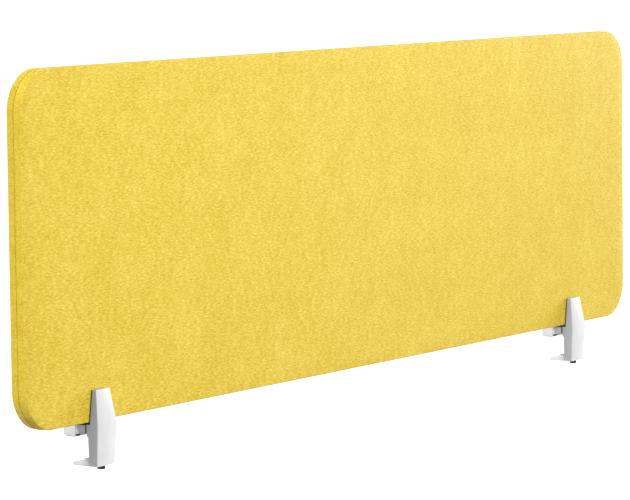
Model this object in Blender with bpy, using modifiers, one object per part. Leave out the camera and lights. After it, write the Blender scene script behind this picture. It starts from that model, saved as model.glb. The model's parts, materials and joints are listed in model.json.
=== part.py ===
"""Desk screen: an upholstered panel that two screw clamps hold above the edge of a desk.

Metres, +Z up. The top of the desk is the plane Z = 0 and its edge is the plane Y = 0, so the desk
lies towards +Y. The panel runs along X, with its middle at X = 0. Each clamp is modelled at X = 0
and then placed under the panel, so both clamps share their meshes.
"""

import math

import bmesh
import bpy
from mathutils import Matrix

MM = 0.001

# Clearances
GAP = 0.3 * MM  # between two pieces that touch or slide

# Panel
PANEL_LENGTH = 1400 * MM
PANEL_HEIGHT = 400 * MM
PANEL_THICKNESS = 20 * MM
CORNER_RADIUS = 48 * MM
EDGE_ROUNDING = 1.5 * MM
FABRIC = 0.7 * MM  # thickness of each fabric half
FOAM = 2.8 * MM  # thickness of each foam layer
EDGE_ROOM = 2.0 * MM  # from the outline in to the board and the foam
SEAM_RADIUS = 0.6 * MM
CORNER_STEPS = 14

# Where the panel stands
SHELF_HEIGHT = 17.5 * MM  # underside of the panel above the desk
PANEL_OVERHANG = 1.5 * MM  # front face of the panel beyond the desk's edge
LEFT_CLAMP_INSET = 133.5 * MM  # middle of a clamp in from the panel's end
RIGHT_CLAMP_INSET = 156 * MM

# Clamp body, seen from the front: a long hexagon
TOP_WIDTH = 25.4 * MM
RIDGE_WIDTH = 37 * MM
BOTTOM_WIDTH = 33 * MM
GRIP_HEIGHT = 36.5 * MM  # top of the grip above the underside of the panel
RIDGE_DROP = 3.5 * MM  # widest point below the underside of the panel
SPINE_BOTTOM = -32.5 * MM

# Clamp body, seen from the side
TOP_DEPTH = 6.8 * MM  # front of the body ahead of the panel's face
RIDGE_DEPTH = 12.6 * MM
BOTTOM_DEPTH = 9.5 * MM
BOSS_DEPTH = 1.8 * MM  # how far the boss under the panel reaches over the desk
BOSS_LIFT = 1.2 * MM  # underside of the boss above the desk
CASTING_ROUNDING = 0.7 * MM

# Channel in the spine, in which the lower jaw travels
SIDE_WALL = 3.4 * MM
FRONT_WALL = 1.5 * MM
LIP = 2.5 * MM  # depth of the two lips that hold the jaw in
SLOT_WIDTH = 15 * MM
JAW_TRAVEL = 14 * MM
JAW_BLOCK_HEIGHT = 10.5 * MM

# Lower jaw
JAW_REACH = 26.1 * MM
JAW_ROOT_THICKNESS = 7.3 * MM
JAW_TIP_THICKNESS = 3.7 * MM
JAW_FLAT = 10 * MM  # level part of its top, next to the spine
JAW_CORNER = 3 * MM
LINK_INSET = 0.5 * MM

# Clamp screw
SCREW_DIAMETER = 5 * MM
SCREW_HEAD_DIAMETER = 9.2 * MM
SCREW_HEAD_HEIGHT = 4.2 * MM
SCREW_SOCKET = 4 * MM  # across the flats
SCREW_SOCKET_DEPTH = 2.6 * MM
SCREW_ENGAGEMENT = 5.5 * MM  # thread in the body with the jaw at its lowest

# Tongue of the body, on which the rear jaw slides
TONGUE_WIDTH = 16 * MM
TONGUE_HEIGHT = 5.5 * MM
TONGUE_LIFT = 7 * MM
TONGUE_END_WALL = 3.2 * MM  # from the tongue's tip to the back of the rear jaw

# Rear jaw
REAR_REACH = 13.4 * MM  # foot behind the seat of the rear pad
REAR_FOOT_HEIGHT = 10 * MM
REAR_TOP_DEPTH = 4.2 * MM
REAR_WAIST_DEPTH = 7 * MM
REAR_WAIST_RISE = 3 * MM  # above the underside of the panel
BLOCK_OPENING = 2.4 * MM  # from the boss back to the rear jaw's block
BLOCK_SETBACK = 1 * MM  # block's sides in from the foot's sides
RELIEF_WIDTH = 1.2 * MM  # groove between the block and the foot
RELIEF_LEAD = 1 * MM  # groove ahead of the panel's back face
RELIEF_DEPTH = 1.5 * MM

# Keeper plate and its two lock screws
KEEPER_THICKNESS = 1.5 * MM
KEEPER_LIFT = 3.9 * MM
LOCK_DIAMETER = 2.5 * MM
LOCK_HEAD_DIAMETER = 4.2 * MM
LOCK_HEAD_HEIGHT = 2.2 * MM
LOCK_SOCKET = 1.5 * MM
LOCK_SOCKET_DEPTH = 1 * MM
LOCK_LENGTH = 8 * MM
LOCK_SIDE_DISTANCE = 2.5 * MM  # screw's axis in from the block's side
LOCK_SETBACK = 5 * MM  # screw's axis ahead of the seat of the rear pad

# Rubber and silicone pads
RUBBER = 1 * MM  # on the panel's faces
SHELF_RUBBER = 2 * MM  # under the panel, on the boss
REAR_SHELF_RUBBER = 2.8 * MM  # under the panel, on the rear jaw's block
BUFFER = 1 * MM  # on the front of the rear jaw's block
RUBBER_INSET = 0.2 * MM
DESK_PAD = 1 * MM
DESK_PAD_PROUD = 0.8 * MM
DESK_PAD_INSET = 2.5 * MM
JAW_PAD = 0.8 * MM
JAW_PAD_PROUD = 0.8 * MM
JAW_PAD_WIDTH = 24 * MM
JAW_PAD_INSET = 1.2 * MM

# Planes that several pieces share
PANEL_FRONT = -PANEL_OVERHANG
PANEL_BACK = PANEL_FRONT + PANEL_THICKNESS
PANEL_MIDDLE = (PANEL_FRONT + PANEL_BACK) / 2
PAD_ROOM = RUBBER + 2 * GAP
FRONT_SEAT = PANEL_FRONT - PAD_ROOM
REAR_SEAT = PANEL_BACK + PAD_ROOM
SHELF_TOP = SHELF_HEIGHT - SHELF_RUBBER - 2 * GAP
REAR_SHELF_TOP = SHELF_HEIGHT - REAR_SHELF_RUBBER - 2 * GAP
GRIP_TOP = SHELF_HEIGHT + GRIP_HEIGHT
RIDGE_LEVEL = SHELF_HEIGHT - RIDGE_DROP
BODY_BOTTOM_FRONT = PANEL_FRONT - BOTTOM_DEPTH
CHANNEL_FRONT = BODY_BOTTOM_FRONT + FRONT_WALL
CHANNEL_HALF = BOTTOM_WIDTH / 2 - SIDE_WALL
CHANNEL_TOP = SPINE_BOTTOM + JAW_BLOCK_HEIGHT + JAW_TRAVEL + 2 * GAP
SCREW_Y = CHANNEL_FRONT + GAP + SCREW_HEAD_DIAMETER / 2
SCREW_HOLE_RADIUS = SCREW_DIAMETER / 2 + GAP
SCREW_TOP = CHANNEL_TOP + SCREW_ENGAGEMENT
BLOCK_FRONT = BOSS_DEPTH + BLOCK_OPENING
BLOCK_BACK = PANEL_BACK - RELIEF_LEAD - RELIEF_WIDTH
BLOCK_HALF = RIDGE_WIDTH / 2 - BLOCK_SETBACK
BLOCK_BOTTOM = KEEPER_LIFT + KEEPER_THICKNESS + GAP
FOOT_FRONT = BLOCK_BACK + RELIEF_WIDTH
FOOT_BOTTOM = DESK_PAD_PROUD + GAP
FOOT_BACK = REAR_SEAT + REAR_REACH
TONGUE_TIP = FOOT_BACK - TONGUE_END_WALL
LOCK_X = BLOCK_HALF - LOCK_SIDE_DISTANCE
LOCK_Y = REAR_SEAT - LOCK_SETBACK

CLAMPS = {
    "left": -PANEL_LENGTH / 2 + LEFT_CLAMP_INSET,
    "right": PANEL_LENGTH / 2 - RIGHT_CLAMP_INSET,
}

# Turns that lay an outline drawn in X and Y across each axis
ACROSS = {
    "X": Matrix.Rotation(math.pi / 2, 4, "Z") @ Matrix.Rotation(math.pi / 2, 4, "X"),
    "Y": Matrix.Rotation(math.pi / 2, 4, "X"),
    "Z": Matrix.Identity(4),
}
ALONG = {"X": (1, 0, 0), "Y": (0, 1, 0), "Z": (0, 0, 1)}


def clear_scene():
    for old in list(bpy.data.objects):
        bpy.data.objects.remove(old)


def collection(name):
    made = bpy.data.collections.new(name)
    bpy.context.scene.collection.children.link(made)
    return made


def material(name, colour, roughness, metallic=0.0):
    made = bpy.data.materials.new(name)
    made.use_nodes = True
    shader = made.node_tree.nodes["Principled BSDF"]
    shader.inputs["Base Color"].default_value = (*colour, 1)
    shader.inputs["Roughness"].default_value = roughness
    shader.inputs["Metallic"].default_value = metallic
    return made


def place(name, mesh, finish=None):
    """A new object for a finished piece, at the origin."""
    if finish:
        mesh.materials.clear()
        mesh.materials.append(finish)
    piece = bpy.data.objects.new(name, mesh)
    PARTS.objects.link(piece)
    return piece


def tool(name, mesh):
    """A new object that only cuts, joins or bounds other shapes."""
    made = bpy.data.objects.new(name, mesh)
    made.hide_render = True
    made.display_type = "WIRE"
    TOOLS.objects.link(made)
    return made


def mesh_from(name, form):
    mesh = bpy.data.meshes.new(name)
    form.to_mesh(mesh)
    form.free()
    return mesh


def box(name, x, y, z):
    """A tool box, from the (low, high) pair along each axis."""
    form = bmesh.new()
    size = Matrix.Diagonal((x[1] - x[0], y[1] - y[0], z[1] - z[0], 1))
    middle = Matrix.Translation((sum(x) / 2, sum(y) / 2, sum(z) / 2))
    bmesh.ops.create_cube(form, size=1, matrix=middle @ size)
    return tool(name, mesh_from(name, form))


def upright_cylinder(name, radius, centre, z, sides=32):
    form = bmesh.new()
    bmesh.ops.create_cone(
        form,
        cap_ends=True,
        segments=sides,
        radius1=radius,
        radius2=radius,
        depth=z[1] - z[0],
        matrix=Matrix.Translation((*centre, sum(z) / 2)),
    )
    return tool(name, mesh_from(name, form))


def prism(name, outline, axis, span):
    """A tool with a flat outline, which runs along axis over the (low, high) span.
    The outline's points are (y, z) for axis X, (x, z) for Y and (x, y) for Z."""
    curve = bpy.data.curves.new(name, "CURVE")
    curve.dimensions = "2D"
    curve.fill_mode = "BOTH"
    curve.extrude = (span[1] - span[0]) / 2
    spline = curve.splines.new("POLY")
    spline.points.add(len(outline) - 1)
    for point, (u, v) in zip(spline.points, outline):
        point.co = (u, v, 0, 1)
    spline.use_cyclic_u = True
    drawn = bpy.data.objects.new(name, curve)
    TOOLS.objects.link(drawn)
    middle = Matrix.Translation([part * sum(span) / 2 for part in ALONG[axis]])
    drawn.matrix_world = middle @ ACROSS[axis]
    made = tool(name, shown_mesh(drawn))
    bpy.data.objects.remove(drawn)
    close_caps(made.data)
    return made


def shown_mesh(piece):
    """The mesh of a piece as it shows, with its modifiers and its place applied."""
    bpy.context.view_layer.update()
    graph = bpy.context.evaluated_depsgraph_get()
    mesh = bpy.data.meshes.new_from_object(piece.evaluated_get(graph))
    mesh.transform(piece.matrix_world)
    return mesh


def close_caps(mesh):
    form = bmesh.new()
    form.from_mesh(mesh)
    bmesh.ops.remove_doubles(form, verts=form.verts, dist=0.001 * MM)
    bmesh.ops.recalc_face_normals(form, faces=form.faces)
    form.to_mesh(mesh)
    form.free()


def combine(target, operation, *others):
    """Boolean steps with the other shapes, and a weld that closes up any sliver."""
    for other in others:
        step = target.modifiers.new(other.name, "BOOLEAN")
        step.operation = operation
        step.object = other
    weld = target.modifiers.new("weld", "WELD")
    weld.merge_threshold = 0.01 * MM


def round_edges(target, width, segments=2):
    bevel = target.modifiers.new("rounding", "BEVEL")
    bevel.width = width
    bevel.segments = segments
    bevel.limit_method = "ANGLE"
    bevel.angle_limit = math.radians(20)


def arc(centre, radius, start, end, steps):
    angles = [math.radians(start + (end - start) * i / steps) for i in range(steps + 1)]
    return [
        (centre[0] + radius * math.cos(a), centre[1] + radius * math.sin(a))
        for a in angles
    ]


def rounded_rectangle(u, v, radius, steps):
    """Outline of a rectangle over the (low, high) pairs u and v, with round corners."""
    corners = [(u[1], v[1], -1, -1), (u[0], v[1], 1, -1), (u[0], v[0], 1, 1), (u[1], v[0], -1, 1)]
    points = []
    for turn, (x, y, towards_x, towards_y) in enumerate(corners):
        centre = (x + towards_x * radius, y + towards_y * radius)
        points += arc(centre, radius, 90 * turn, 90 * turn + 90, steps)
    return points


def panel_outline(inset):
    half = PANEL_LENGTH / 2 - inset
    height = (SHELF_HEIGHT + inset, SHELF_HEIGHT + PANEL_HEIGHT - inset)
    return rounded_rectangle((-half, half), height, CORNER_RADIUS - inset, CORNER_STEPS)


def half_width(level):
    """Half the width of the clamp's hexagon at a height."""
    if level > RIDGE_LEVEL:
        share = (level - RIDGE_LEVEL) / (GRIP_TOP - RIDGE_LEVEL)
        return (RIDGE_WIDTH + share * (TOP_WIDTH - RIDGE_WIDTH)) / 2
    share = (RIDGE_LEVEL - level) / (RIDGE_LEVEL - SPINE_BOTTOM)
    return (RIDGE_WIDTH + share * (BOTTOM_WIDTH - RIDGE_WIDTH)) / 2


def hexagon(bottom, inset=0.0, waist=None):
    """Front outline of a clamp from the level bottom up to the top of its grip."""
    levels = [bottom + inset, GRIP_TOP - inset]
    if bottom < RIDGE_LEVEL:
        levels.insert(1, RIDGE_LEVEL)
    right = [(half_width(level) - inset, level) for level in levels]
    if waist is not None:
        right[0] = (waist, levels[0])
    return right + [(-x, z) for x, z in reversed(right)]


# ---- Panel ----


def core_board():
    half = PANEL_THICKNESS / 2 - FABRIC - FOAM - 2 * GAP
    span = (PANEL_MIDDLE - half, PANEL_MIDDLE + half)
    board = prism("board_form", panel_outline(EDGE_ROOM), "Y", span)
    place("core_board", shown_mesh(board), BOARD_FINISH)


def foam_layers():
    outer = PANEL_THICKNESS / 2 - FABRIC - GAP
    for name, side in (("front_foam", -1), ("rear_foam", 1)):
        faces = sorted(PANEL_MIDDLE + side * depth for depth in (outer - FOAM, outer))
        layer = prism(name + "_form", panel_outline(EDGE_ROOM), "Y", faces)
        place(name, shown_mesh(layer), FOAM_FINISH)


def fabric_halves():
    """Two fabric trays that meet at the seam round the middle of the edge."""
    seam_half = SEAM_RADIUS + GAP
    for name, side in (("front_cover", -1), ("rear_cover", 1)):
        face = PANEL_MIDDLE + side * PANEL_THICKNESS / 2
        rim = PANEL_MIDDLE + side * seam_half
        tray = prism(name + "_form", panel_outline(0), "Y", sorted((face, rim)))
        round_outline(tray.data, face)
        inner_face = face - side * FABRIC
        past_rim = PANEL_MIDDLE - side * seam_half
        hollow = prism(name + "_hollow", panel_outline(FABRIC), "Y", sorted((inner_face, past_rim)))
        combine(tray, "DIFFERENCE", hollow)
        place(name, shown_mesh(tray), FABRIC_FINISH)


def round_outline(mesh, face):
    """Rounds the edges that lie all round one face of the panel."""
    form = bmesh.new()
    form.from_mesh(mesh)
    rim = [
        edge
        for edge in form.edges
        if all(abs(vert.co.y - face) < 0.01 * MM for vert in edge.verts)
        and edge.calc_face_angle(0) > math.radians(45)
    ]
    bmesh.ops.bevel(form, geom=rim, offset=EDGE_ROUNDING, segments=3, profile=0.5, affect="EDGES")
    form.to_mesh(mesh)
    form.free()


def seam_cord():
    """The sewn seam between the fabric halves, a thin cord all round the panel."""
    route = panel_outline(FABRIC + GAP)
    curve = bpy.data.curves.new("seam_route", "CURVE")
    curve.dimensions = "3D"
    curve.bevel_depth = SEAM_RADIUS
    curve.bevel_resolution = 1
    spline = curve.splines.new("POLY")
    spline.points.add(len(route) - 1)
    for point, (x, z) in zip(spline.points, route):
        point.co = (x, PANEL_MIDDLE, z, 1)
    spline.use_cyclic_u = True
    drawn = bpy.data.objects.new("seam_route", curve)
    TOOLS.objects.link(drawn)
    mesh = shown_mesh(drawn)
    bpy.data.objects.remove(drawn)
    close_caps(mesh)
    place("seam_cord", mesh, SEAM_FINISH)


# ---- Clamp, modelled at X = 0 ----


def clamp_body():
    """Grip plate, spine and tongue, cast in one piece."""
    profile = [
        (FRONT_SEAT, GRIP_TOP),
        (PANEL_FRONT - TOP_DEPTH, GRIP_TOP),
        (PANEL_FRONT - RIDGE_DEPTH, RIDGE_LEVEL),
        (BODY_BOTTOM_FRONT, SPINE_BOTTOM),
        (0, SPINE_BOTTOM),
        (0, BOSS_LIFT),
        (BOSS_DEPTH, BOSS_LIFT),
        (BOSS_DEPTH, SHELF_TOP),
        (FRONT_SEAT, SHELF_TOP),
    ]
    reach = (PANEL_FRONT - 2 * RIDGE_DEPTH, 2 * BOSS_DEPTH)
    body = prism("body_front_view", hexagon(SPINE_BOTTOM), "Y", reach)
    side_view = prism("body_side_view", profile, "X", (-RIDGE_WIDTH, RIDGE_WIDTH))
    combine(body, "INTERSECT", side_view)
    round_edges(body, CASTING_ROUNDING)
    tongue = box(
        "tongue",
        (-TONGUE_WIDTH / 2, TONGUE_WIDTH / 2),
        (BOSS_DEPTH / 2, TONGUE_TIP),
        (TONGUE_LIFT, TONGUE_LIFT + TONGUE_HEIGHT),
    )
    combine(body, "UNION", tongue)
    below = SPINE_BOTTOM - MM
    channel = box(
        "channel",
        (-CHANNEL_HALF, CHANNEL_HALF),
        (CHANNEL_FRONT, -LIP),
        (below, CHANNEL_TOP),
    )
    slot = box(
        "slot",
        (-SLOT_WIDTH / 2, SLOT_WIDTH / 2),
        (-LIP - MM, MM),
        (below, CHANNEL_TOP),
    )
    hole = upright_cylinder(
        "screw_hole",
        SCREW_HOLE_RADIUS,
        (0, SCREW_Y),
        (CHANNEL_TOP - MM, SCREW_TOP + JAW_TRAVEL + 2 * GAP),
    )
    combine(body, "DIFFERENCE", channel, slot, hole)
    return shown_mesh(body)


def lower_jaw():
    """Arm under the desk, with the block that travels in the spine's channel."""
    root_top = SPINE_BOTTOM + JAW_ROOT_THICKNESS
    profile = [
        (GAP, SPINE_BOTTOM),
        (JAW_REACH, SPINE_BOTTOM),
        (JAW_REACH, SPINE_BOTTOM + JAW_TIP_THICKNESS),
        (JAW_FLAT, root_top),
        (GAP, root_top),
    ]
    half = BOTTOM_WIDTH / 2
    jaw = prism("jaw_side_view", profile, "X", (-half, half))
    plan = rounded_rectangle((-half, half), (-2 * JAW_CORNER, JAW_REACH), JAW_CORNER, 5)
    combine(jaw, "INTERSECT", prism("jaw_plan", plan, "Z", (2 * SPINE_BOTTOM, 0)))
    round_edges(jaw, CASTING_ROUNDING)
    block_top = SPINE_BOTTOM + JAW_BLOCK_HEIGHT
    block_half = CHANNEL_HALF - GAP
    neck_half = SLOT_WIDTH / 2 - GAP
    right_half = [
        (block_half, CHANNEL_FRONT + GAP),
        (block_half, -LIP - GAP),
        (neck_half, -LIP - GAP),
        (neck_half, -GAP),
    ]
    tee = right_half + [(-x, y) for x, y in reversed(right_half)]
    block = prism("jaw_block", tee, "Z", (SPINE_BOTTOM, block_top))
    link_half = neck_half - LINK_INSET
    link = box(
        "jaw_link",
        (-link_half, link_half),
        (-MM, JAW_FLAT / 2),
        (SPINE_BOTTOM + LINK_INSET, root_top - CASTING_ROUNDING),
    )
    combine(jaw, "UNION", link, block)
    bore = upright_cylinder(
        "jaw_bore",
        SCREW_HOLE_RADIUS,
        (0, SCREW_Y),
        (SPINE_BOTTOM - MM, block_top + MM),
    )
    pad_bed = box(
        "jaw_pad_bed",
        (-JAW_PAD_WIDTH / 2 - GAP, JAW_PAD_WIDTH / 2 + GAP),
        (JAW_PAD_INSET - GAP, JAW_FLAT + GAP),
        (root_top + JAW_PAD_PROUD - JAW_PAD - GAP, root_top + MM),
    )
    combine(jaw, "DIFFERENCE", bore, pad_bed)
    return shown_mesh(jaw)


def jaw_pad():
    """Silicone strip on the level part of the lower jaw."""
    top = SPINE_BOTTOM + JAW_ROOT_THICKNESS + JAW_PAD_PROUD
    pad = box(
        "jaw_pad_form",
        (-JAW_PAD_WIDTH / 2, JAW_PAD_WIDTH / 2),
        (JAW_PAD_INSET, JAW_FLAT),
        (top - JAW_PAD, top),
    )
    return shown_mesh(pad)


def socket_screw(name, shaft, head, head_height, length, socket, socket_depth):
    """A screw that points up, with its axis on Z and the underside of its head at Z = 0."""
    screw = upright_cylinder(name, head / 2, (0, 0), (-head_height, 0))
    round_edges(screw, head / 20)
    stem = upright_cylinder(name + "_shaft", shaft / 2, (0, 0), (-head_height / 2, length), 24)
    recess = upright_cylinder(
        name + "_socket",
        socket / 2 / math.cos(math.pi / 6),
        (0, 0),
        (-2 * head_height, socket_depth - head_height),
        6,
    )
    combine(screw, "UNION", stem)
    combine(screw, "DIFFERENCE", recess)
    return shown_mesh(screw)


def rear_jaw():
    """Upright behind the panel, foot on the desk and block that slides on the tongue."""
    waist = SHELF_HEIGHT + REAR_WAIST_RISE
    profile = [
        (REAR_SEAT, GRIP_TOP),
        (REAR_SEAT, REAR_SHELF_TOP),
        (BLOCK_FRONT, REAR_SHELF_TOP),
        (BLOCK_FRONT, BLOCK_BOTTOM),
        (FOOT_FRONT, BLOCK_BOTTOM),
        (FOOT_FRONT, FOOT_BOTTOM),
        (FOOT_BACK, FOOT_BOTTOM),
        (FOOT_BACK, FOOT_BOTTOM + REAR_FOOT_HEIGHT),
        (REAR_SEAT + REAR_WAIST_DEPTH, waist),
        (REAR_SEAT + REAR_TOP_DEPTH, GRIP_TOP),
    ]
    outline = hexagon(FOOT_BOTTOM - MM, waist=RIDGE_WIDTH / 2)
    jaw = prism("rear_front_view", outline, "Y", (0, 2 * FOOT_BACK))
    side_view = prism("rear_side_view", profile, "X", (-RIDGE_WIDTH, RIDGE_WIDTH))
    combine(jaw, "INTERSECT", side_view)
    round_edges(jaw, CASTING_ROUNDING)
    pocket_half = TONGUE_WIDTH / 2 + GAP
    pocket_top = TONGUE_LIFT + TONGUE_HEIGHT + GAP
    pocket = box(
        "tongue_pocket",
        (-pocket_half, pocket_half),
        (BLOCK_FRONT - MM, TONGUE_TIP + GAP),
        (TONGUE_LIFT - GAP, pocket_top),
    )
    keeper_way = box(
        "keeper_way",
        (-pocket_half, pocket_half),
        (BLOCK_FRONT - MM, BLOCK_BACK),
        (0, pocket_top - MM),
    )
    combine(jaw, "DIFFERENCE", pocket, keeper_way)
    for side in (-1, 1):
        block_side, outside = side * BLOCK_HALF, side * RIDGE_WIDTH
        step = box(
            f"block_side_{side}",
            sorted((block_side, outside)),
            (BLOCK_FRONT - MM, BLOCK_BACK + RELIEF_WIDTH / 2),
            (0, SHELF_TOP + MM / 2),
        )
        relief = box(
            f"relief_{side}",
            sorted((side * (RIDGE_WIDTH / 2 - RELIEF_DEPTH), outside)),
            (BLOCK_BACK, FOOT_FRONT),
            (0, SHELF_TOP + MM / 2),
        )
        hole = upright_cylinder(
            f"lock_hole_{side}",
            LOCK_DIAMETER / 2 + GAP,
            (side * LOCK_X, LOCK_Y),
            (0, KEEPER_LIFT + LOCK_LENGTH + GAP),
            20,
        )
        combine(jaw, "DIFFERENCE", step, relief, hole)
    bed = box(
        "desk_pad_bed",
        (-RIDGE_WIDTH / 2 + DESK_PAD_INSET - GAP, RIDGE_WIDTH / 2 - DESK_PAD_INSET + GAP),
        (FOOT_FRONT + DESK_PAD_INSET - GAP, FOOT_BACK - DESK_PAD_INSET + GAP),
        (-MM, DESK_PAD + GAP),
    )
    combine(jaw, "DIFFERENCE", bed)
    return shown_mesh(jaw)


def desk_pad():
    """Silicone pad in the underside of the rear jaw's foot. Its face is the plane Z = 0."""
    pad = box(
        "desk_pad_form",
        (-RIDGE_WIDTH / 2 + DESK_PAD_INSET, RIDGE_WIDTH / 2 - DESK_PAD_INSET),
        (FOOT_FRONT + DESK_PAD_INSET, FOOT_BACK - DESK_PAD_INSET),
        (0, DESK_PAD),
    )
    return shown_mesh(pad)


def keeper_plate():
    """Plate that closes the block's underside. Its rib presses on the tongue."""
    half = BLOCK_HALF - RUBBER_INSET
    ends = (BLOCK_FRONT + RUBBER_INSET, FOOT_FRONT - GAP)
    plate = box("keeper_form", (-half, half), ends, (KEEPER_LIFT, KEEPER_LIFT + KEEPER_THICKNESS))
    rib = box(
        "keeper_rib",
        (-TONGUE_WIDTH / 2 + GAP, TONGUE_WIDTH / 2 - GAP),
        (ends[0] + MM, BLOCK_BACK - MM),
        (KEEPER_LIFT + KEEPER_THICKNESS / 2, TONGUE_LIFT - GAP),
    )
    combine(plate, "UNION", rib)
    for side in (-1, 1):
        hole = upright_cylinder(
            f"keeper_hole_{side}",
            LOCK_DIAMETER / 2 + GAP,
            (side * LOCK_X, LOCK_Y),
            (0, 2 * BLOCK_BOTTOM),
            20,
        )
        combine(plate, "DIFFERENCE", hole)
    return shown_mesh(plate)


def grip_pad(seat, face):
    """Rubber pad on a grip plate, between its seat and the panel's face."""
    span = sorted((seat + math.copysign(GAP, face - seat), face - math.copysign(GAP, face - seat)))
    pad = prism("grip_pad_form", hexagon(SHELF_HEIGHT, RUBBER_INSET), "Y", span)
    return shown_mesh(pad)


def shelf_pad(front, back, shelf):
    """Rubber strip between a shelf and the panel, over the (front, back) stretch."""
    half = BLOCK_HALF - RUBBER_INSET
    pad = box(
        "shelf_pad_form",
        (-half, half),
        (front, back),
        (shelf + GAP, SHELF_HEIGHT - GAP),
    )
    return shown_mesh(pad)


def buffer_strip(side):
    """Rubber strip on the front of the rear jaw's block, beside the tongue."""
    inner, outer = TONGUE_WIDTH / 2 + GAP + RUBBER_INSET, BLOCK_HALF - RUBBER_INSET
    strip = box(
        f"buffer_form_{side}",
        sorted((side * inner, side * outer)),
        (BLOCK_FRONT - GAP - BUFFER, BLOCK_FRONT - GAP),
        (BLOCK_BOTTOM + RUBBER_INSET, REAR_SHELF_TOP - RUBBER_INSET),
    )
    return shown_mesh(strip)


def clamps():
    """Every piece of a clamp, once under each end of the panel."""
    clamp_screw = socket_screw(
        "clamp_screw_form",
        SCREW_DIAMETER,
        SCREW_HEAD_DIAMETER,
        SCREW_HEAD_HEIGHT,
        SCREW_TOP - SPINE_BOTTOM + GAP,
        SCREW_SOCKET,
        SCREW_SOCKET_DEPTH,
    )
    lock_screw = socket_screw(
        "lock_screw_form",
        LOCK_DIAMETER,
        LOCK_HEAD_DIAMETER,
        LOCK_HEAD_HEIGHT,
        LOCK_LENGTH,
        LOCK_SOCKET,
        LOCK_SOCKET_DEPTH,
    )
    screw_place = (0, SCREW_Y, SPINE_BOTTOM - GAP)
    lock_level = KEEPER_LIFT - GAP
    middle = (0, 0, 0)
    pieces = {
        "clamp_body": (clamp_body(), PAINT_FINISH, middle),
        "lower_jaw": (lower_jaw(), PAINT_FINISH, middle),
        "rear_jaw": (rear_jaw(), PAINT_FINISH, middle),
        "keeper_plate": (keeper_plate(), PAINT_FINISH, middle),
        "front_pad": (grip_pad(FRONT_SEAT, PANEL_FRONT), RUBBER_FINISH, middle),
        "rear_pad": (grip_pad(REAR_SEAT, PANEL_BACK), RUBBER_FINISH, middle),
        "shelf_pad_front": (
            shelf_pad(PANEL_FRONT, BOSS_DEPTH - GAP, SHELF_TOP),
            RUBBER_FINISH,
            middle,
        ),
        "shelf_pad_rear": (
            shelf_pad(BLOCK_FRONT + GAP, BLOCK_BACK, REAR_SHELF_TOP),
            RUBBER_FINISH,
            middle,
        ),
        "buffer_outer": (buffer_strip(-1), RUBBER_FINISH, middle),
        "buffer_inner": (buffer_strip(1), RUBBER_FINISH, middle),
        "desk_pad": (desk_pad(), SILICONE_FINISH, middle),
        "jaw_pad": (jaw_pad(), SILICONE_FINISH, middle),
        "clamp_screw": (clamp_screw, SCREW_FINISH, screw_place),
        "lock_screw_outer": (lock_screw, SCREW_FINISH, (-LOCK_X, LOCK_Y, lock_level)),
        "lock_screw_inner": (lock_screw, SCREW_FINISH, (LOCK_X, LOCK_Y, lock_level)),
    }
    for side, x in CLAMPS.items():
        frame = bpy.data.objects.new(side + "_clamp_frame", None)
        frame.location = (x, 0, 0)
        PARTS.objects.link(frame)
        for name, (mesh, finish, where) in pieces.items():
            piece = place(f"{side}_{name}", mesh, finish)
            piece.location = where
            piece.parent = frame


def smooth_rounds():
    for piece in PARTS.objects:
        if piece.type == "MESH":
            piece.data.shade_smooth()
            piece.data.set_sharp_from_angle(angle=math.radians(25))


clear_scene()
PARTS = collection("desk_screen")
TOOLS = collection("tools")
FABRIC_FINISH = material("yellow_fabric", (0.83, 0.60, 0.07), 0.95)
SEAM_FINISH = material("yellow_seam", (0.72, 0.48, 0.04), 0.95)
BOARD_FINISH = material("fibreboard", (0.50, 0.36, 0.22), 0.85)
FOAM_FINISH = material("foam", (0.86, 0.85, 0.80), 0.95)
PAINT_FINISH = material("white_paint", (0.85, 0.85, 0.85), 0.38)
RUBBER_FINISH = material("black_rubber", (0.02, 0.02, 0.02), 0.75)
SILICONE_FINISH = material("grey_silicone", (0.62, 0.62, 0.62), 0.6)
SCREW_FINISH = material("black_steel", (0.03, 0.03, 0.03), 0.4, 0.9)

core_board()
foam_layers()
fabric_halves()
seam_cord()
clamps()
smooth_rounds()
for spare in list(TOOLS.objects):
    bpy.data.objects.remove(spare)
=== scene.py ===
"""Looks of the desk screen: a yellow heathered cover on a flat panel, and two white screw clamps.

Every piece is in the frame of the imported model, in metres. The desk's top is the plane Z = 0 and
its edge the plane Y = 0. The pieces of a clamp are modelled once, at X = 0, and copied to both.
"""

import json
import math

import bmesh
import bpy
from mathutils import Matrix, Vector


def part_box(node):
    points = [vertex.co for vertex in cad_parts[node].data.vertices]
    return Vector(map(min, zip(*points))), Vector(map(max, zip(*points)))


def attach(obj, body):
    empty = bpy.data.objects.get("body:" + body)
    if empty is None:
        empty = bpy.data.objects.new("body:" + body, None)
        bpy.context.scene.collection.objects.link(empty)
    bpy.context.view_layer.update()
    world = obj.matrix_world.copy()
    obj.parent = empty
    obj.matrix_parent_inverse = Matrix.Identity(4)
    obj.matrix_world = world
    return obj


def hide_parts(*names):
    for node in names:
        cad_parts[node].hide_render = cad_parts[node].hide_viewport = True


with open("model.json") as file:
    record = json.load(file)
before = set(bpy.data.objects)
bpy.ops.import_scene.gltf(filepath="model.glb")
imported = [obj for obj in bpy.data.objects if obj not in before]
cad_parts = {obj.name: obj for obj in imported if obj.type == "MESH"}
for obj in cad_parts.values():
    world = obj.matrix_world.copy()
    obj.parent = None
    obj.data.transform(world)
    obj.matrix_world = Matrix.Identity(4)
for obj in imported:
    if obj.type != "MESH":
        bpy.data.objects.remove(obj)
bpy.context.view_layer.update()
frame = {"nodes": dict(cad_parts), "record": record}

MM = 0.001
SIDES = ("left", "right")

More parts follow.
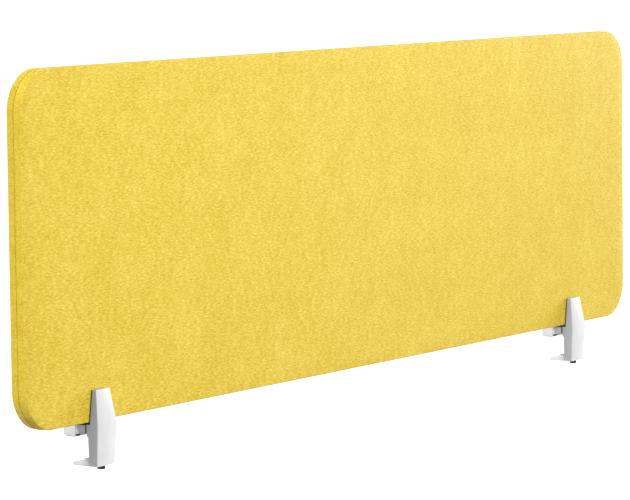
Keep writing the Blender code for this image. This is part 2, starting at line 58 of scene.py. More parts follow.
# Camera: place, turn and lens
CAMERA_PLACE = (-3.85847, -2.39985, 0.57161)
CAMERA_YAW = 1.00165  # from +Y towards +X
CAMERA_PITCH = 0.08929  # downwards
CAMERA_ROLL = 0.01167
SENSOR = 36.0
LENS = 208.05

# Stage
FLOOR_LEVEL = -0.74
WORLD = 0.34
# strength, azimuth, elevation, spread
SUNS = {
    "back_left": (2.2, 168, 34, 10),
}
# power, place, size
SOFTBOXES = {
    "key": (40.0, (-0.6, -2.3, 1.1), 1.2),
    "fill": (7.0, (1.7, -2.0, 1.0), 1.2),
    "grazing": (115.0, (4.0, -0.6, 0.9), 1.2),
    "behind": (40.0, (0.9, 2.4, 1.2), 1.4),
}

# Panel
panel_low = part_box("front_cover")[0]
panel_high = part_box("rear_cover")[1]
PANEL_MIDDLE = (panel_low.y + panel_high.y) / 2
CORNER_RADIUS = 48 * MM
EDGE_ROUNDING = 1.6 * MM
FABRIC = 0.7 * MM
SEAM_RADIUS = 0.42 * MM
SEAM_DEPTH = 0.45 * MM
# Turned-in rim of a fabric half: (out from the panel's outline, from the seam's middle)
RIM = (
    (0.00, 2.60),
    (0.22, 2.10),
    (0.42, 1.55),
    (0.40, 0.95),
    (0.15, 0.60),
    (-0.30, 0.50),
    (-1.05, 0.48),
)
CORNER_STEPS = 20
LENGTH_STEPS = 70
HEIGHT_STEPS = 20

# Clamp sizes, shared with the frame
GRIP_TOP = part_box("left_clamp_body")[1].z
SPINE_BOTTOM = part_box("left_clamp_body")[0].z
RIDGE_LEVEL = 14.0 * MM
RIDGE_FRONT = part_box("left_clamp_body")[0].y
TOP_FRONT = -8.3 * MM
BOTTOM_FRONT = -11.0 * MM
TOP_HALF = 12.7 * MM
RIDGE_HALF = 18.5 * MM
BOTTOM_HALF = 16.5 * MM
FRONT_SEAT = -3.1 * MM
SHELF_TOP = 14.9 * MM
BOSS_BACK = 1.8 * MM
BOSS_BOTTOM = 1.2 * MM
TONGUE_LOW = (-8 * MM, 0.5 * MM, 7 * MM)
TONGUE_HIGH = (8 * MM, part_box("left_clamp_body")[1].y, 12.5 * MM)
CHANNEL_LOW = (-13.1 * MM, -9.5 * MM, SPINE_BOTTOM - MM)
CHANNEL_HIGH = (13.1 * MM, -2.5 * MM, SPINE_BOTTOM + 25.1 * MM)
SLOT_HALF = 7.5 * MM
GAP = 0.3 * MM
BODY_ROUND = 0.8 * MM

# Lower jaw
JAW_TRAVEL = 14 * MM
JAW_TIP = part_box("left_lower_jaw")[1].y
JAW_FLAT = 10 * MM
JAW_TOP = SPINE_BOTTOM + 7.3 * MM
JAW_TIP_TOP = SPINE_BOTTOM + 3.6 * MM
JAW_TIP_HALF = 14 * MM
JAW_BLOCK_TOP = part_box("left_lower_jaw")[1].z
JAW_CORNER = 3 * MM
JAW_ROUND = 0.9 * MM
LINK_INSET = 0.5 * MM

# Rear jaw
REAR_SEAT = 20.1 * MM
FOOT_FRONT = 17.5 * MM
FOOT_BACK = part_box("left_rear_jaw")[1].y
FOOT_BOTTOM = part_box("left_rear_jaw")[0].z
FOOT_TOP = 11.1 * MM
WAIST_LEVEL = 20.5 * MM
WAIST_BACK = 27.1 * MM
REAR_TOP_BACK = 24.3 * MM
BLOCK_BOTTOM = 5.7 * MM
BLOCK_BACK = 16.3 * MM
BLOCK_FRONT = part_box("left_rear_jaw")[0].y
BLOCK_HALF = 17.5 * MM
RELIEF_HALF = 17.0 * MM
LOCK_HOLE_TOP = 12.2 * MM
REAR_ROUND = 0.7 * MM

# Screws
screw_low, screw_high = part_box("left_clamp_screw")
CLAMP_X = {side: sum(p.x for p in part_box(side + "_clamp_body")) / 2 for side in SIDES}
SCREW_AXIS = Vector((0, (screw_low.y + screw_high.y) / 2, 0))
SCREW_HEAD_RADIUS = (screw_high.x - screw_low.x) / 2
SCREW_HEAD_HEIGHT = 4.2 * MM
SCREW_RADIUS = 2.5 * MM
lock_low, lock_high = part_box("left_lock_screw_inner")
lock_middle = (lock_low + lock_high) / 2
LOCK_AXIS = Vector((lock_middle.x - CLAMP_X["left"], lock_middle.y, 0))
LOCK_HEAD_RADIUS = (lock_high.x - lock_low.x) / 2
LOCK_HEAD_HEIGHT = 2.2 * MM
LOCK_RADIUS = 1.25 * MM
SCREW_PITCH = 0.8 * MM
SCREW_SOCKET = 4 * MM  # across the flats
SCREW_FLUTES = 24
LOCK_PITCH = 0.45 * MM
LOCK_SOCKET = 1.5 * MM


# ---- Modelling helpers ----


def choose(piece):
    bpy.ops.object.select_all(action="DESELECT")
    piece.select_set(True)
    bpy.context.view_layer.objects.active = piece


def settle(piece):
    """Puts the piece's place, turn and size into its mesh."""
    choose(piece)
    bpy.ops.object.transform_apply(location=True, rotation=True, scale=True)


def block(name, low, high):
    """A box between two corners, to be shaped further."""
    bpy.ops.object.select_all(action="DESELECT")
    low, high = Vector(low), Vector(high)
    bpy.ops.mesh.primitive_cube_add(size=1, location=(low + high) / 2)
    piece = bpy.context.object
    piece.name = name
    piece.scale = high - low
    settle(piece)
    return piece


def rod(name, radius, foot, length, sides=48):
    """An upright cylinder that stands on the point foot."""
    bpy.ops.object.select_all(action="DESELECT")
    x, y, z = foot
    bpy.ops.mesh.primitive_cylinder_add(
        vertices=sides, radius=radius, depth=length, location=(x, y, z + length / 2)
    )
    piece = bpy.context.object
    piece.name = name
    settle(piece)
    return piece


def edit(piece):
    choose(piece)
    bpy.ops.object.mode_set(mode="EDIT")


def done():
    bpy.ops.object.mode_set(mode="OBJECT")


def pick(piece, kind, wanted):
    """In edit mode, selects each vertex, edge or face that wanted(its middle, itself) accepts."""
    bpy.ops.mesh.select_mode(type=kind)
    bpy.ops.mesh.select_all(action="DESELECT")
    form = bmesh.from_edit_mesh(piece.data)
    if kind == "VERT":
        for vert in form.verts:
            vert.select_set(wanted(vert.co, vert))
    elif kind == "EDGE":
        for edge in form.edges:
            edge.select_set(wanted((edge.verts[0].co + edge.verts[1].co) / 2, edge))
    else:
        form.normal_update()
        for face in form.faces:
            face.select_set(wanted(face.calc_center_median(), face))
    form.select_flush_mode()
    bmesh.update_edit_mesh(piece.data)


def slice_at(axis, levels):
    """Cuts the whole mesh, in edit mode, across the axis at each level."""
    normal = [0.0, 0.0, 0.0]
    normal["XYZ".index(axis)] = 1.0
    for level in levels:
        point = [level * part for part in normal]
        bpy.ops.mesh.select_all(action="SELECT")
        bpy.ops.mesh.bisect(plane_co=point, plane_no=normal, threshold=1e-6)


def near(a, b, reach=0.02 * MM):
    return abs(a - b) < reach


def move(x=0.0, y=0.0, z=0.0):
    bpy.ops.transform.translate(value=(x, y, z))


def extrude(x=0.0, y=0.0, z=0.0):
    bpy.ops.mesh.extrude_region_move(TRANSFORM_OT_translate={"value": (x, y, z)})


def resize(x=1.0, y=1.0, z=1.0, about=(0.0, 0.0, 0.0)):
    bpy.ops.transform.resize(value=(x, y, z), center_override=about)


def apply_all(piece):
    choose(piece)
    for step in list(piece.modifiers):
        bpy.ops.object.modifier_apply(modifier=step.name)


def combine(piece, other, operation="DIFFERENCE"):
    """Cuts the other shape from the piece, or joins it to the piece, and uses it up."""
    step = piece.modifiers.new("combine", "BOOLEAN")
    step.operation = operation
    step.solver = "EXACT"
    step.object = other
    apply_all(piece)
    bpy.data.objects.remove(other)


def soften(piece, width, segments=3, angle=28):
    """Rounds every edge sharper than the angle, and shades the rounds smoothly."""
    step = piece.modifiers.new("rounding", "BEVEL")
    step.width = width
    step.segments = segments
    step.limit_method = "ANGLE"
    step.angle_limit = math.radians(angle)
    step.harden_normals = False
    apply_all(piece)
    choose(piece)
    bpy.ops.object.shade_smooth_by_angle(angle=math.radians(35))


def finish_piece(piece, name, body, material, replaced=()):
    piece.name = name
    piece.data.name = name
    piece.data.materials.clear()
    piece.data.materials.append(material)
    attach(piece, body)
    if replaced:
        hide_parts(*replaced)
    return piece


def copy_to(piece, name, x):
    """A copy with its own mesh, moved along X."""
    made = piece.copy()
    made.data = piece.data.copy()
    made.name = name
    bpy.context.scene.collection.objects.link(made)
    made.location.x = x
    settle(made)
    return made


# ---- Materials ----


class Finish:
    """A node material on Object coordinates, with short ways to add what it needs."""

    def __init__(self, name, roughness, metallic=0.0):
        self.material = bpy.data.materials.new(name)
        self.material.use_nodes = True
        self.nodes = self.material.node_tree.nodes
        self.links = self.material.node_tree.links
        self.shader = self.nodes["Principled BSDF"]
        self.shader.inputs["Roughness"].default_value = roughness
        self.shader.inputs["Metallic"].default_value = metallic
        self.coordinates = self.nodes.new("ShaderNodeTexCoord").outputs["Object"]

    def mapped(self, scale=(1, 1, 1), rotation=(0, 0, 0)):
        node = self.nodes.new("ShaderNodeMapping")
        node.inputs["Scale"].default_value = scale
        node.inputs["Rotation"].default_value = [math.radians(a) for a in rotation]
        self.links.new(self.coordinates, node.inputs["Vector"])
        return node.outputs["Vector"]

    def noise(self, scale, detail=2.0, roughness=0.5, vector=None):
        node = self.nodes.new("ShaderNodeTexNoise")
        node.inputs["Scale"].default_value = scale
        node.inputs["Detail"].default_value = detail
        node.inputs["Roughness"].default_value = roughness
        self.links.new(vector or self.coordinates, node.inputs["Vector"])
        return node.outputs["Fac"]

    def sum(self, first, second, share):
        """first + share * second, where both are about one half on average."""
        node = self.nodes.new("ShaderNodeMath")
        node.operation = "MULTIPLY_ADD"
        self.links.new(second, node.inputs[0])
        node.inputs[1].default_value = share
        self.links.new(first, node.inputs[2])
        return node.outputs["Value"]

    def ramp(self, value, stops):
        node = self.nodes.new("ShaderNodeValToRGB")
        band = node.color_ramp
        while len(band.elements) < len(stops):
            band.elements.new(1.0)
        for element, (position, colour) in zip(band.elements, stops):
            element.position = position
            element.color = (*colour, 1)
        self.links.new(value, node.inputs["Fac"])
        return node.outputs["Color"]

    def grey(self, value, low, high, start=0.3, end=0.7):
        """Maps a value to a number between low and high."""
        node = self.nodes.new("ShaderNodeMapRange")
        node.inputs["From Min"].default_value = start
        node.inputs["From Max"].default_value = end
        node.inputs["To Min"].default_value = low
        node.inputs["To Max"].default_value = high
        self.links.new(value, node.inputs["Value"])
        return node.outputs["Result"]

    def colour(self, output):
        self.links.new(output, self.shader.inputs["Base Color"])

    def rough(self, output):
        self.links.new(output, self.shader.inputs["Roughness"])

    def bump(self, height, distance, strength=1.0):
        node = self.nodes.new("ShaderNodeBump")
        node.inputs["Distance"].default_value = distance
        node.inputs["Strength"].default_value = strength
        self.links.new(height, node.inputs["Height"])
        self.links.new(node.outputs["Normal"], self.shader.inputs["Normal"])


def fabric_finish(name, dark, middle, light):
    """Felted wool cloth: short fibres in two shades, lying mostly along the panel."""
    cloth = Finish(name, 0.65)
    lying = cloth.noise(600, 2.0, 0.6, cloth.mapped((0.24, 1.0, 1.0)))
    slanted = cloth.noise(700, 1.0, 0.5, cloth.mapped((0.30, 1.0, 1.1), (0, 21, 0)))
    crossed = cloth.noise(700, 1.0, 0.5, cloth.mapped((0.30, 1.0, 1.1), (0, -31, 0)))
    fibres = cloth.sum(cloth.sum(lying, slanted, 0.5), crossed, 0.5)
    patches = cloth.sum(cloth.noise(75, 2.0, 0.5), cloth.noise(14, 1.0, 0.5), 0.6)
    heather = cloth.sum(fibres, patches, 0.3)
    shades = ((0.0, dark), (0.5, middle), (1.0, light))
    cloth.colour(cloth.ramp(cloth.grey(heather, 0, 1, 0.93, 1.55), shades))
    fine = cloth.noise(2600, 3.0, 0.65, cloth.mapped((0.5, 1.0, 1.0)))
    cloth.bump(cloth.sum(fibres, fine, 0.5), 0.00022, 0.8)
    sheen = cloth.shader.inputs
    sheen["Sheen Weight"].default_value = 0.05
    sheen["Sheen Roughness"].default_value = 0.3
    sheen["Specular IOR Level"].default_value = 0.2
    return cloth.material


def paint_finish():
    """White powder coat with a fine orange-peel skin."""
    paint = Finish("white_powder_coat", 0.42)
    skin = paint.noise(1400, 2.0, 0.5)
    cast = paint.noise(60, 3.0, 0.5)
    paint.colour(paint.ramp(cast, ((0.3, (0.765, 0.767, 0.773)), (0.7, (0.79, 0.791, 0.796)))))
    paint.rough(paint.grey(skin, 0.36, 0.48))
    paint.bump(skin, 0.00003, 0.6)
    return paint.material


def rubber_finish(name, colour, roughness):
    rubber = Finish(name, roughness)
    grain = rubber.noise(1800, 3.0, 0.6)
    low = tuple(0.8 * part for part in colour)
    rubber.colour(rubber.ramp(grain, ((0.3, low), (0.7, colour))))
    rubber.bump(grain, 0.00004, 0.6)
    return rubber.material


def steel_finish():
    """Black-oxide steel, lighter where it is rubbed."""
    steel = Finish("black_oxide", 0.36, 0.85)
    wear = steel.noise(380, 4.0, 0.6)
    steel.colour(steel.ramp(wear, ((0.35, (0.018, 0.018, 0.02)), (0.75, (0.055, 0.055, 0.06)))))
    steel.rough(steel.grey(wear, 0.30, 0.46))
    steel.bump(steel.noise(2400, 2.0, 0.5), 0.00002, 0.5)
    return steel.material


CLOTH = fabric_finish(
    "yellow_melange", (0.65, 0.405, 0.002), (0.80, 0.58, 0.045), (0.95, 0.76, 0.14)
)
# Seam thread: a lighter yellow than the cloth. It is partly the thread's own colour and partly
# painted light that offsets the shade in the groove.
LIGHTENED_SEAM_THREAD = fabric_finish(
    "seam_yellow_painted_light", (0.80, 0.54, 0.01), (0.90, 0.64, 0.02), (0.98, 0.74, 0.05)
)
PAINT = paint_finish()
RUBBER = rubber_finish("black_rubber", (0.022, 0.022, 0.023), 0.7)
SILICONE = rubber_finish("grey_silicone", (0.55, 0.55, 0.56), 0.55)
STEEL = steel_finish()
BOARD = rubber_finish("fibreboard", (0.50, 0.36, 0.22), 0.85)
FOAM = rubber_finish("foam", (0.86, 0.85, 0.80), 0.9)


# ---- Panel ----


def rounded_sheet(name, y):
    """An upright face with the panel's outline, at the depth y."""
    bpy.ops.object.select_all(action="DESELECT")
    middle = (0, y, (panel_low.z + panel_high.z) / 2)
    bpy.ops.mesh.primitive_plane_add(size=1, location=middle, rotation=(math.pi / 2, 0, 0))
    piece = bpy.context.object
    piece.name = name
    piece.scale = (panel_high.x - panel_low.x, panel_high.z - panel_low.z, 1)
    settle(piece)
    edit(piece)
    bpy.ops.mesh.select_all(action="SELECT")
    bpy.ops.mesh.bevel(offset=CORNER_RADIUS, segments=CORNER_STEPS, affect="VERTICES")
    return piece


def grow(out):
    """Moves the selected ring of the panel's outline outwards, in edit mode."""
    width, height = panel_high.x - panel_low.x, panel_high.z - panel_low.z
    middle = (0, 0, (panel_low.z + panel_high.z) / 2)
    resize(1 + 2 * out / width, 1, 1 + 2 * out / height, middle)


def fabric_half(name, side):
    """One half of the cover: a face, a rounded edge, and a rim that turns in at the seam."""
    face = panel_low.y if side < 0 else panel_high.y
    levels = [(out * MM, PANEL_MIDDLE + side * along * MM) for out, along in RIM]
    piece = rounded_sheet(name, levels[0][1])
    bpy.ops.mesh.select_mode(type="FACE")
    bpy.ops.mesh.select_all(action="SELECT")
    extrude(y=face - levels[0][1])
    seam_end = levels[0][1]
    pick(piece, "FACE", lambda at, found: near(at.y, seam_end))
    bpy.ops.mesh.delete(type="ONLY_FACE")
    pick(piece, "EDGE", lambda at, edge: all(near(v.co.y, face) for v in edge.verts))
    bpy.ops.mesh.bevel(offset=EDGE_ROUNDING, segments=5, profile=0.5, affect="EDGES")
    pick(piece, "EDGE", lambda at, edge: edge.is_boundary and near(at.y, seam_end))
    for (out, y), (next_out, next_y) in zip(levels, levels[1:]):
        bpy.ops.mesh.extrude_edges_move(TRANSFORM_OT_translate={"value": (0, next_y - y, 0)})
        grow(next_out - out)
    length, height = panel_high.x - panel_low.x, panel_high.z - panel_low.z
    slice_at("X", [panel_low.x + length * i / LENGTH_STEPS for i in range(1, LENGTH_STEPS)])
    slice_at("Z", [panel_low.z + height * i / HEIGHT_STEPS for i in range(1, HEIGHT_STEPS)])
    bpy.ops.mesh.select_all(action="SELECT")
    bpy.ops.mesh.normals_make_consistent(inside=False)
    done()
    wall = piece.modifiers.new("cloth", "SOLIDIFY")
    wall.thickness = FABRIC
    wall.offset = -1
    apply_all(piece)
    choose(piece)
    bpy.ops.object.shade_smooth_by_angle(angle=math.radians(50))
    return piece


def seam_line():
    """The thread-filled seam at the bottom of the groove, all round the panel."""
    piece = rounded_sheet("seam_line", PANEL_MIDDLE)
    pick(piece, "FACE", lambda at, face: True)
    bpy.ops.mesh.delete(type="ONLY_FACE")
    bpy.ops.mesh.select_mode(type="EDGE")
    bpy.ops.mesh.select_all(action="SELECT")
    grow(-SEAM_DEPTH)
    done()
    choose(piece)
    bpy.ops.object.convert(target="CURVE")
    piece = bpy.context.object
    piece.data.bevel_depth = SEAM_RADIUS
    piece.data.bevel_resolution = 3
    bpy.ops.object.convert(target="MESH")
    piece = bpy.context.object
    bpy.ops.object.shade_smooth()
    return piece


# ---- Clamp pieces, modelled at X = 0 ----


def grip_and_spine():
    """The cast body: grip plate, spine with the jaw's channel, boss and tongue."""
    low = (-RIDGE_HALF, RIDGE_FRONT, SPINE_BOTTOM)
    piece = block("clamp_body", low, (RIDGE_HALF, FRONT_SEAT, GRIP_TOP))
    edit(piece)
    slice_at("Z", [RIDGE_LEVEL])
    pick(piece, "VERT", lambda at, vert: near(at.z, GRIP_TOP))
    resize(x=TOP_HALF / RIDGE_HALF)
    pick(piece, "VERT", lambda at, vert: near(at.z, GRIP_TOP) and near(at.y, RIDGE_FRONT))
    move(y=TOP_FRONT - RIDGE_FRONT)
    pick(piece, "VERT", lambda at, vert: near(at.z, SPINE_BOTTOM))
    resize(x=BOTTOM_HALF / RIDGE_HALF)
    pick(piece, "VERT", lambda at, vert: near(at.z, SPINE_BOTTOM) and near(at.y, RIDGE_FRONT))
    move(y=BOTTOM_FRONT - RIDGE_FRONT)
    slice_at("Z", [SHELF_TOP, BOSS_BOTTOM])
    pick(piece, "FACE", lambda at, face: face.normal.y > 0.9 and at.z < SHELF_TOP)
    extrude(y=-FRONT_SEAT)
    pick(
        piece,
        "FACE",
        lambda at, face: face.normal.y > 0.9 and BOSS_BOTTOM < at.z < SHELF_TOP,
    )
    extrude(y=BOSS_BACK)
    bpy.ops.mesh.select_all(action="SELECT")
    bpy.ops.mesh.dissolve_limited(angle_limit=math.radians(1))
    done()
    combine(piece, block("tongue", TONGUE_LOW, TONGUE_HIGH), "UNION")
    combine(piece, block("channel", CHANNEL_LOW, CHANNEL_HIGH))
    slot_low = (-SLOT_HALF, CHANNEL_HIGH[1] - MM, CHANNEL_LOW[2])
    combine(piece, block("slot", slot_low, (SLOT_HALF, MM, CHANNEL_HIGH[2])))
    foot = CHANNEL_HIGH[2] - MM
    depth = screw_high.z + JAW_TRAVEL + 2 * GAP - foot
    combine(piece, rod("hole", SCREW_RADIUS + GAP, (0, SCREW_AXIS.y, foot), depth))
    soften(piece, BODY_ROUND)
    return piece


def lower_jaw():
    """The arm under the desk, tapered to its tip, and the block that runs in the spine."""
    low = (-BOTTOM_HALF, GAP, SPINE_BOTTOM)
    piece = block("lower_jaw", low, (BOTTOM_HALF, JAW_TIP, JAW_TOP))
    edit(piece)
    slice_at("Y", [JAW_FLAT])
    pick(piece, "VERT", lambda at, vert: near(at.y, JAW_TIP))
    resize(x=JAW_TIP_HALF / BOTTOM_HALF)
    pick(piece, "VERT", lambda at, vert: near(at.y, JAW_TIP) and near(at.z, JAW_TOP))
    move(z=JAW_TIP_TOP - JAW_TOP)
    pick(
        piece,
        "EDGE",
        lambda at, edge: near(at.y, JAW_TIP) and near(edge.verts[0].co.x, edge.verts[1].co.x),
    )
    bpy.ops.mesh.bevel(offset=JAW_CORNER, segments=5, affect="EDGES")
    done()
    soften(piece, JAW_ROUND)
    neck = SLOT_HALF - GAP
    link_low = (-neck + LINK_INSET, -MM, SPINE_BOTTOM + LINK_INSET)
    link = block("link", link_low, (neck - LINK_INSET, JAW_FLAT / 2, JAW_TOP - JAW_ROUND))
    combine(piece, link, "UNION")
    bar_low = (CHANNEL_LOW[0] + GAP, CHANNEL_LOW[1] + GAP, SPINE_BOTTOM)
    bar = block("bar", bar_low, (CHANNEL_HIGH[0] - GAP, CHANNEL_HIGH[1] - GAP, JAW_BLOCK_TOP))
    edit(bar)
    slice_at("X", [-neck, neck])
    pick(bar, "FACE", lambda at, face: face.normal.y > 0.9 and abs(at.x) < neck)
    extrude(y=-CHANNEL_HIGH[1])
    done()
    combine(piece, bar, "UNION")
    bore = rod("bore", SCREW_RADIUS + GAP, (0, SCREW_AXIS.y, SPINE_BOTTOM - MM), 20 * MM)
    combine(piece, bore)
    pad_low, pad_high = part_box("left_jaw_pad")
    middle = (pad_low.x + pad_high.x) / 2
    bed_low = (pad_low.x - middle - GAP, pad_low.y - GAP, pad_low.z - GAP)
    bed_high = (pad_high.x - middle + GAP, pad_high.y + GAP, JAW_TOP + MM)
    combine(piece, block("bed", bed_low, bed_high))
    choose(piece)
    bpy.ops.object.shade_smooth_by_angle(angle=math.radians(35))
    return piece


def rear_jaw():
    """Upright behind the panel, foot over the desk, and the block with its pocket."""
    low = (-RIDGE_HALF, REAR_SEAT, FOOT_BOTTOM)
    piece = block("rear_jaw", low, (RIDGE_HALF, FOOT_BACK, GRIP_TOP))
    edit(piece)
    slice_at("Z", [RIDGE_LEVEL])
    pick(piece, "VERT", lambda at, vert: near(at.z, GRIP_TOP))
    resize(x=TOP_HALF / RIDGE_HALF)
    slice_at("Z", [FOOT_TOP, WAIST_LEVEL])
    share = (WAIST_LEVEL - RIDGE_LEVEL) / (WAIST_LEVEL - FOOT_TOP)
    for level, back in (
        (GRIP_TOP, REAR_TOP_BACK),
        (WAIST_LEVEL, WAIST_BACK),
        (RIDGE_LEVEL, WAIST_BACK + share * (FOOT_BACK - WAIST_BACK)),
    ):
        pick(piece, "VERT", lambda at, vert: near(at.z, level) and near(at.y, FOOT_BACK))
        move(y=back - FOOT_BACK)
    pick(piece, "FACE", lambda at, face: face.normal.y < -0.9 and at.z < RIDGE_LEVEL)
    extrude(y=FOOT_FRONT - REAR_SEAT)
    slice_at("Z", [BLOCK_BOTTOM])
    pick(
        piece,
        "FACE",
        lambda at, face: face.normal.y < -0.9 and BLOCK_BOTTOM < at.z < RIDGE_LEVEL,
    )
    extrude(y=0)
    resize(x=RELIEF_HALF / RIDGE_HALF)
    extrude(y=BLOCK_BACK - FOOT_FRONT)
    extrude(y=0)
    resize(x=BLOCK_HALF / RELIEF_HALF)
    extrude(y=BLOCK_FRONT - BLOCK_BACK)
    bpy.ops.mesh.select_all(action="SELECT")
    bpy.ops.mesh.dissolve_limited(angle_limit=math.radians(1))
    done()
    half = TONGUE_HIGH[0] + GAP
    pocket_low = (-half, BLOCK_FRONT - MM, TONGUE_LOW[2] - GAP)
    pocket = block("pocket", pocket_low, (half, TONGUE_HIGH[1] + GAP, TONGUE_HIGH[2] + GAP))
    combine(piece, pocket)
    way = block("way", (-half, BLOCK_FRONT - MM, 0), (half, BLOCK_BACK, TONGUE_HIGH[2]))
    combine(piece, way)
    for side in (-1, 1):
        foot = (side * LOCK_AXIS.x, LOCK_AXIS.y, 0)
        combine(piece, rod("lock_hole", LOCK_RADIUS + GAP, foot, LOCK_HOLE_TOP, 24))
    pad_low, pad_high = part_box("left_desk_pad")
    middle = (pad_low.x + pad_high.x) / 2
    bed_low = (pad_low.x - middle - GAP, pad_low.y - GAP, -MM)
    bed_high = (pad_high.x - middle + GAP, pad_high.y + GAP, pad_high.z + GAP)
    combine(piece, block("bed", bed_low, bed_high))
    soften(piece, REAR_ROUND)
    return piece


def turned(name, outline, steps):
    """A solid turned on Z: a point is drawn out along the outline of (radius, height), then spun."""
    radius, height = outline[0]
    bpy.ops.object.select_all(action="DESELECT")
    bpy.ops.mesh.primitive_plane_add(size=MM, location=(radius, 0, height))
    piece = bpy.context.object
    piece.name = name
    settle(piece)
    edit(piece)
    bpy.ops.mesh.select_mode(type="VERT")
    bpy.ops.mesh.select_all(action="SELECT")
    bpy.ops.mesh.merge(type="CENTER")
    for (x, z), (next_x, next_z) in zip(outline, outline[1:]):
        step = {"value": (next_x - x, 0, next_z - z)}
        bpy.ops.mesh.extrude_vertices_move(TRANSFORM_OT_translate=step)
    bpy.ops.mesh.select_all(action="SELECT")
    bpy.ops.mesh.spin(
        steps=steps, angle=2 * math.pi, center=(0, 0, 0), axis=(0, 0, 1), use_auto_merge=True
    )
    bpy.ops.mesh.select_all(action="SELECT")
    bpy.ops.mesh.remove_doubles(threshold=0.001 * MM)
    bpy.ops.mesh.normals_make_consistent(inside=False)
    done()
    return piece


def socket_screw(name, radius, head_radius, head_height, length, pitch, socket, flutes):
    """A socket-head screw, head down, with the underside of its head at Z = 0."""
    chamfer = 0.09 * head_radius
    outline = [
        (0, -head_height),
        (head_radius - 2 * chamfer, -head_height),
        (head_radius - 0.6 * chamfer, -head_height + 0.5 * chamfer),
        (head_radius, -head_height + 2 * chamfer),
        (head_radius, -chamfer),
        (head_radius - chamfer, 0),
        (radius, 0),
        (radius, 1.5 * pitch),
    ]
    depth = 0.54 * pitch
    turns = int((length - 3 * pitch) / pitch)
    start = 1.5 * pitch
    for turn in range(turns):
        foot = start + turn * pitch
        outline += [
            (radius - depth, foot + 0.42 * pitch),
            (radius - depth, foot + 0.58 * pitch),
            (radius, foot + 0.92 * pitch),
            (radius, foot + pitch),
        ]
    outline += [(radius - depth, length), (0, length)]
    piece = turned(name, outline, 48)
    key = rod("key", socket / math.sqrt(3), (0, 0, -2 * head_height), 1.62 * head_height, 6)
    combine(piece, key)
    for i in range(flutes):
        angle = 2 * math.pi * i / flutes
        x, y = 1.055 * head_radius * math.cos(angle), 1.055 * head_radius * math.sin(angle)
        low = -head_height + 2.4 * chamfer
        flute = rod("flute", 0.105 * head_radius, (x, y, low), head_height - 4 * chamfer, 8)
        combine(piece, flute)
    choose(piece)
    bpy.ops.object.shade_smooth_by_angle(angle=math.radians(35))
    return piece


def panel():
    for half, side in (("front", -1), ("rear", 1)):
        name = half + "_cloth"
        piece = fabric_half(name, side)
        finish_piece(piece, name, "screen", CLOTH, [half + "_cover"])
        piece.visible_diffuse = False  # keeps its yellow off the white clamps
    line = seam_line()
    finish_piece(line, "seam_line", "screen", LIGHTENED_SEAM_THREAD, ["seam_cord"])


def clamps():
    body, jaw, rear = grip_and_spine(), lower_jaw(), rear_jaw()
    clamp_screw = socket_screw(
        "clamp_screw",
        SCREW_RADIUS,
        SCREW_HEAD_RADIUS,
        SCREW_HEAD_HEIGHT,
        screw_high.z - screw_low.z - SCREW_HEAD_HEIGHT,
        SCREW_PITCH,
        SCREW_SOCKET,
        SCREW_FLUTES,
    )
    lock_screw = socket_screw(
        "lock_screw",
        LOCK_RADIUS,
        LOCK_HEAD_RADIUS,
        LOCK_HEAD_HEIGHT,
        lock_high.z - lock_low.z - LOCK_HEAD_HEIGHT,
        LOCK_PITCH,
        LOCK_SOCKET,
        0,
    )
    clamp_screw.location = (0, SCREW_AXIS.y, screw_low.z + SCREW_HEAD_HEIGHT)
    settle(clamp_screw)
    lock_screw.location = (0, LOCK_AXIS.y, lock_low.z + LOCK_HEAD_HEIGHT)
    settle(lock_screw)
    # model, piece, finish, how far it stands to the side of the clamp's middle
    parts = (
        (body, "clamp_body", PAINT, 0),
        (jaw, "lower_jaw", PAINT, 0),
        (rear, "rear_jaw", PAINT, 0),
        (clamp_screw, "clamp_screw", STEEL, 0),
        (lock_screw, "lock_screw_outer", STEEL, -LOCK_AXIS.x),
        (lock_screw, "lock_screw_inner", STEEL, LOCK_AXIS.x),
    )
    for side in SIDES:
        for model, part, finish, shift in parts:
            node = f"{side}_{part}"
            name = node + "_shape"
            home = "screen" if part == "clamp_body" else node
            piece = copy_to(model, name, CLAMP_X[side] + shift)
            finish_piece(piece, name, home, finish, [node])
    for model in (body, jaw, rear, clamp_screw, lock_screw):
        bpy.data.objects.remove(model)


def finish_frame_nodes():
    """Gives the solids that show or stay their own finish."""
    finishes = {
        "black_rubber": RUBBER,
        "grey_silicone": SILICONE,
        "white_paint": PAINT,
        "fibreboard": BOARD,
        "foam": FOAM,
        "black_steel": STEEL,
        "yellow_fabric": CLOTH,
        "yellow_seam": LIGHTENED_SEAM_THREAD,
    }
    slots = {row["node"]: row["material_slot"] for row in frame["record"]["subparts"]}
    for name, node in frame["nodes"].items():
        node.data.materials.clear()
        node.data.materials.append(finishes[slots[name]])


# ---- Stage ----


def sun(name, strength, azimuth, elevation, spread):
    """A broad soft light that shines from an azimuth, from +X towards +Y, and an elevation."""
    data = bpy.data.lights.new(name, "SUN")
    data.energy = strength
    data.angle = math.radians(spread)
    lamp = bpy.data.objects.new(name, data)
    across, up = math.radians(azimuth), math.radians(elevation)
    towards = Vector((math.cos(across) * math.cos(up), math.sin(across) * math.cos(up), math.sin(up)))
    lamp.rotation_euler = towards.to_track_quat("Z", "Y").to_euler()
    bpy.context.scene.collection.objects.link(lamp)


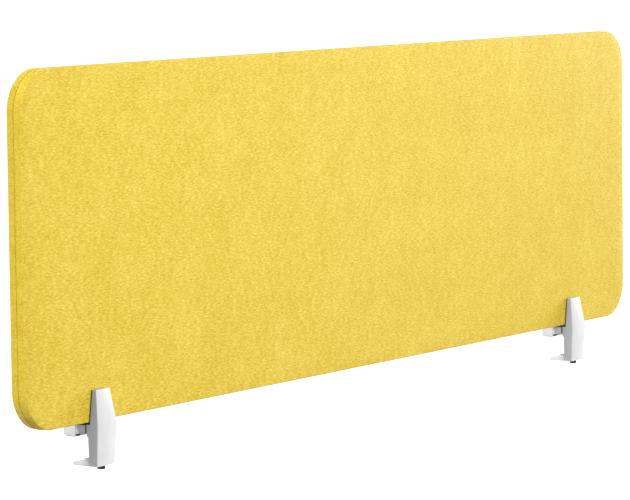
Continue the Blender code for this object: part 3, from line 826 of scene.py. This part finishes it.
def softbox(name, power, place, size):
    """A square soft light that faces the middle of the panel."""
    data = bpy.data.lights.new(name, "AREA")
    data.energy = power
    data.size = size
    lamp = bpy.data.objects.new(name, data)
    lamp.location = place
    aim = Vector(place) - Vector((0, 0, 0.2))
    lamp.rotation_euler = aim.to_track_quat("Z", "Y").to_euler()
    bpy.context.scene.collection.objects.link(lamp)


def stage():
    bpy.ops.object.select_all(action="DESELECT")
    bpy.ops.mesh.primitive_plane_add(size=400, location=(0, 0, FLOOR_LEVEL))
    floor = bpy.context.object
    floor.name = "floor"
    pale = Finish("pale_floor", 0.9)
    tone = pale.noise(0.6, 2.0, 0.5)
    pale.colour(pale.ramp(tone, ((0.3, (0.90, 0.90, 0.90)), (0.7, (0.92, 0.92, 0.92)))))
    floor.data.materials.append(pale.material)
    pale.shader.inputs["Emission Color"].default_value = (1, 1, 1, 1)
    pale.shader.inputs["Emission Strength"].default_value = 0.6
    floor.visible_diffuse = False
    world = bpy.data.worlds.new("studio")
    world.use_nodes = True
    background = world.node_tree.nodes["Background"]
    background.inputs["Color"].default_value = (1, 1, 1, 1)
    background.inputs["Strength"].default_value = WORLD
    bpy.context.scene.world = world
    for name, light in SUNS.items():
        sun(name, *light)
    for name, light in SOFTBOXES.items():
        softbox(name, *light)
    scene = bpy.context.scene
    scene.view_settings.view_transform = "Standard"
    scene.view_settings.look = "None"


def camera():
    forward = Vector(
        (
            math.sin(CAMERA_YAW) * math.cos(CAMERA_PITCH),
            math.cos(CAMERA_YAW) * math.cos(CAMERA_PITCH),
            -math.sin(CAMERA_PITCH),
        )
    )
    level = Vector((math.cos(CAMERA_YAW), -math.sin(CAMERA_YAW), 0))
    below = forward.cross(level)
    right = math.cos(CAMERA_ROLL) * level + math.sin(CAMERA_ROLL) * below
    down = math.cos(CAMERA_ROLL) * below - math.sin(CAMERA_ROLL) * level
    data = bpy.data.cameras.new("camera")
    data.sensor_width = SENSOR
    data.lens = LENS
    data.clip_end = 1000
    eye = bpy.data.objects.new("camera", data)
    turn = Matrix((right, -down, -forward)).transposed().to_4x4()
    eye.matrix_world = Matrix.Translation(CAMERA_PLACE) @ turn
    bpy.context.scene.collection.objects.link(eye)
    bpy.context.scene.camera = eye


camera()
panel()
clamps()
finish_frame_nodes()
stage()
